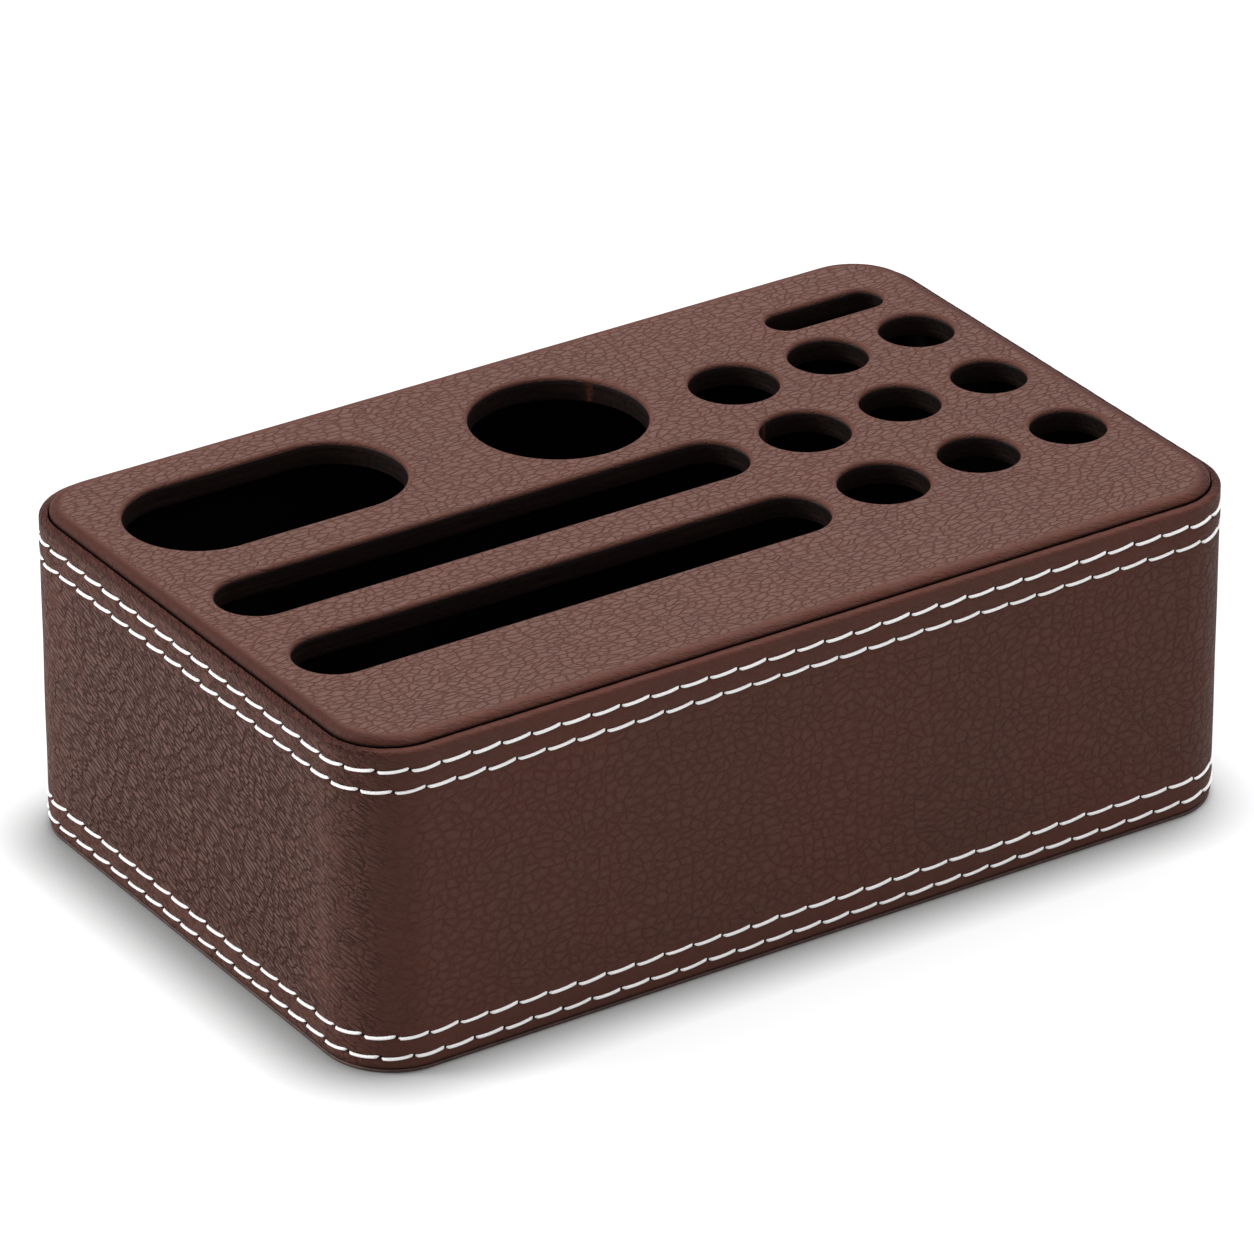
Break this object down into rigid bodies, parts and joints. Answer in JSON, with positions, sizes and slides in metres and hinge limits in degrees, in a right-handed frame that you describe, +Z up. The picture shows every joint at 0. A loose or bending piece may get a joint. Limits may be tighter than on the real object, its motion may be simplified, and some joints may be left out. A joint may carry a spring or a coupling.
{
  "type": "desk organizer",
  "caption": "Leather-covered rectangular desk box with stitched edges and a lift-out lid plate with an oblong, a round hole, long slots and a grid of pen holes.",
  "frame": {"origin": "centre of the box's footprint, on the desk", "axes": "+Z up, +X along the length with the pen holes at +X, -Y towards the plain strip of the lid, the front"},
  "size_m": [0.236, 0.15, 0.081],
  "materials": {
    "pebbled_leather": "dark brown pebble grain, satin",
    "liner_leather": "near-black brown, smooth, satin",
    "thread": "white waxed thread",
    "fibreboard": "raw medium-density fibreboard",
    "velvet": "black velvet, short pile",
    "base_cover": "dark brown embossed sheet, matte"
  },
  "bodies": {
    "box": {"front_board": "fibreboard", "back_board": "fibreboard", "left_board": "fibreboard", "right_board": "fibreboard", "corner_post_front_left": "fibreboard", "corner_post_front_right": "fibreboard", "corner_post_back_left": "fibreboard", "corner_post_back_right": "fibreboard", "base_board": "fibreboard", "base_sheet": "base_cover", "side_wrap": "pebbled_leather", "thread_rim_upper": "thread", "thread_rim_lower": "thread", "thread_foot_upper": "thread", "thread_foot_lower": "thread", "wall_lining": "velvet", "floor_mat": "velvet"},
    "lid": {"lid_board": "fibreboard", "lid_backing": "velvet", "lid_cover": "pebbled_leather", "liner_oblong": "liner_leather", "liner_round": "liner_leather", "liner_slot_back": "liner_leather", "liner_slot_front": "liner_leather", "liner_slot_small": "liner_leather", "liner_pen_back_left": "liner_leather", "liner_pen_back_centre": "liner_leather", "liner_pen_back_right": "liner_leather", "liner_pen_middle_left": "liner_leather", "liner_pen_middle_centre": "liner_leather", "liner_pen_middle_right": "liner_leather", "liner_pen_front_left": "liner_leather", "liner_pen_front_centre": "liner_leather", "liner_pen_front_right": "liner_leather"}
  },
  "joints": [
    {"name": "lid_lift", "type": "slide", "parent": "box", "child": "lid", "axis": [0, 0, 1], "range_m": [0, 0.06]}
  ]
}
